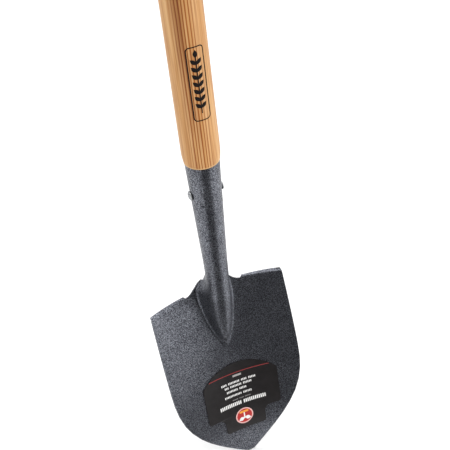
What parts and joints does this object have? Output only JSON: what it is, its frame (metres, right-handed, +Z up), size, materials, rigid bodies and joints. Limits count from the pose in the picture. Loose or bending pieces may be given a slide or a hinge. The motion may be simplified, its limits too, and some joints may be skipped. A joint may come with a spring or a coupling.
{
  "type": "round point shovel",
  "caption": "Small round point shovel with a stamped open-back blade, rolled socket, straight ash handle and cushioned end grip.",
  "frame": {"origin": "centre of the flat end of the grip, at the top of the handle", "axes": "+Z up along the handle toward its gripped end, +Y toward the open back of the blade, -Y the way the digging face looks, +X to the right as seen from the front"},
  "size_m": [0.142, 0.0577, 1.158],
  "materials": {
    "hammered_steel_paint": "grey hammered enamel, semi-gloss",
    "lacquered_ash": "clear lacquered straight-grained ash",
    "rivet_steel": "dull plated steel",
    "foam_grip": "matt black cushion foam",
    "printed_label": "black printed label, satin"
  },
  "bodies": {
    "root": {"blade_and_socket": "hammered_steel_paint", "ash_handle": "lacquered_ash", "rivet": "rivet_steel", "cushion_grip": "foam_grip", "blade_label": "printed_label"}
  },
  "joints": []
}
